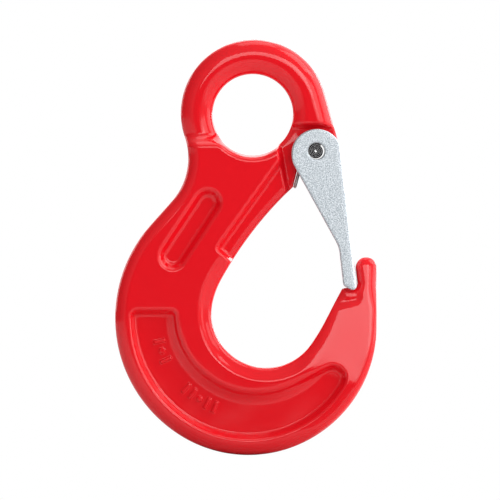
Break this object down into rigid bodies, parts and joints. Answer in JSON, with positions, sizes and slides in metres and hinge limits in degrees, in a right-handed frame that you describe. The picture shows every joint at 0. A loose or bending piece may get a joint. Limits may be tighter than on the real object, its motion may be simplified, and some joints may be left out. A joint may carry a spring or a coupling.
{
  "type": "eye sling hook with latch",
  "caption": "Forged eye sling hook with a closed eye, a deep round bowl and a sprung channel latch that closes the throat",
  "frame": {"origin": "centre of the eye's bore, on the hook's middle plane", "axes": "+Y along the bore, +Z from the bowl to the eye, +X to the side of the latch and the tip"},
  "size_m": [0.0815, 0.017, 0.1295],
  "materials": {
    "red_enamel": "gloss",
    "zinc_plate": "granular, satin",
    "black_steel": "oiled black",
    "spring_steel": "drawn wire"
  },
  "bodies": {
    "hook": {"hook_body": "red_enamel", "latch_pin": "black_steel", "latch_spring": "spring_steel"},
    "latch": {"latch": "zinc_plate"}
  },
  "joints": [
    {"name": "latch_hinge", "type": "hinge", "parent": "hook", "child": "latch", "pos_m": [0.01981, 0, -0.01148], "axis": [0, 1, 0], "range_deg": [0, 50], "stiffness_Nm_per_rad": 0.25, "springref_deg": -28.65, "deforming": ["latch_spring"]}
  ]
}
